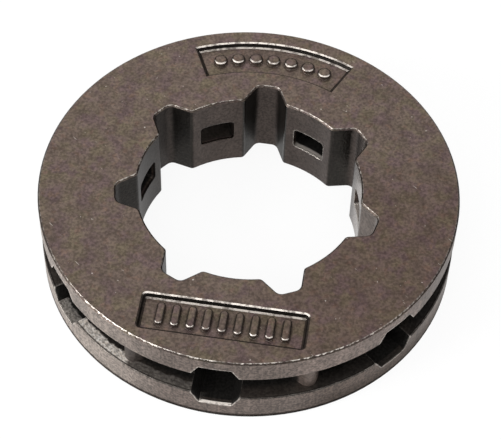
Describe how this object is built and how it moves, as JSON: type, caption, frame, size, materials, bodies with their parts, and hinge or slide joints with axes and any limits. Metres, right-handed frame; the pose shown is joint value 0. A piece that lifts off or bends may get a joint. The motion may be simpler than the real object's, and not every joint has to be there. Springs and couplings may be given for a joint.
{
  "type": "chainsaw rim sprocket",
  "caption": "Flat steel ring with a splined bore and a pocketed chain groove around its rim, which drives a saw chain from a clutch drum's hub.",
  "frame": {"origin": "centre of the splined bore at the lower face, which the ring lies on", "axes": "+Z along the bore axis, towards the face with the recessed panels; +Y through the middle of one spline slot and of the curved panel; -Y through a drive-link pocket and the straight panel"},
  "size_m": [0.0318, 0.0318, 0.0072],
  "materials": {
    "steel": "dark oxide film over a fine cast grain, paler on the outer rims"
  },
  "bodies": {
    "root": {"rim_sprocket": "steel"}
  },
  "joints": []
}
